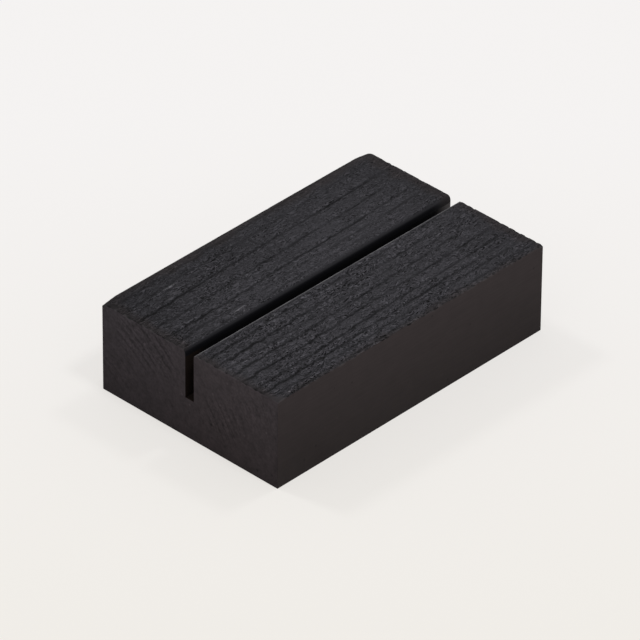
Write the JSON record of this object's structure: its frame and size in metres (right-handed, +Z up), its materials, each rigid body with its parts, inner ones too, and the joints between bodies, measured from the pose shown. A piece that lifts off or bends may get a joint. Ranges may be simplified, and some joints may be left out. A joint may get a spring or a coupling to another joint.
{
  "type": "place card holder",
  "caption": "Rectangular block of black-stained wood with a slot sawn along its rough top, which holds a place card or small print upright on a table.",
  "frame": {"origin": "middle of the underside, on the surface that the block rests on", "axes": "+X along the slot and the grain, towards the far end; +Y across the block, from the planed front side to the rear side with the rounded slot lip; +Z up"},
  "size_m": [0.11, 0.07, 0.03],
  "materials": {
    "black_stained_wood": "black stain on softwood, matt: rough-sawn top, planed sides, sawn end grain"
  },
  "bodies": {
    "root": {"slotted_block": "black_stained_wood"}
  },
  "joints": []
}
